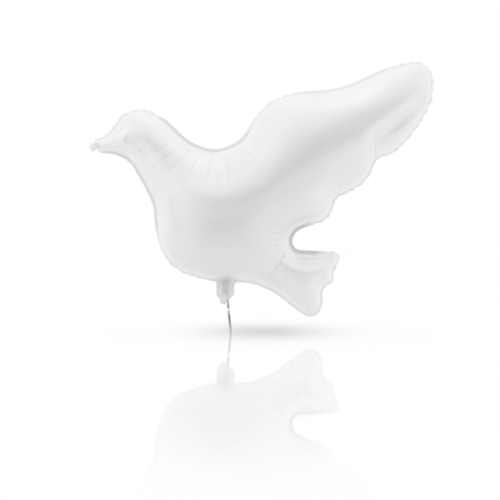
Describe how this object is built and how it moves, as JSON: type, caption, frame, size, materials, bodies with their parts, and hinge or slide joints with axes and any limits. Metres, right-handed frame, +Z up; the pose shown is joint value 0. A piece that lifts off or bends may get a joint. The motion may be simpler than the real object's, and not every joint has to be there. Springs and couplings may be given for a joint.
{
  "type": "foil balloon",
  "caption": "Inflated foil balloon in the shape of a flying dove, with a flat fill tab and a short ribbon below its belly.",
  "frame": {"origin": "middle of the fill tab below the belly, in the plane of the seam, where the ribbon is fastened", "axes": "+Z up, -X towards the beak, +X towards the wing tip and tail, -Y towards the front sheet, +Y towards the back sheet"},
  "size_m": [0.6984, 0.2234, 0.5507],
  "materials": {
    "pearl_foil": "white pearl metallised film with a satin gloss",
    "valve_film": "grey translucent film",
    "silver_ribbon": "silver metallised ribbon"
  },
  "bodies": {
    "root": {"foil_envelope": "pearl_foil", "fill_valve": "valve_film", "ribbon": "silver_ribbon"}
  },
  "joints": []
}
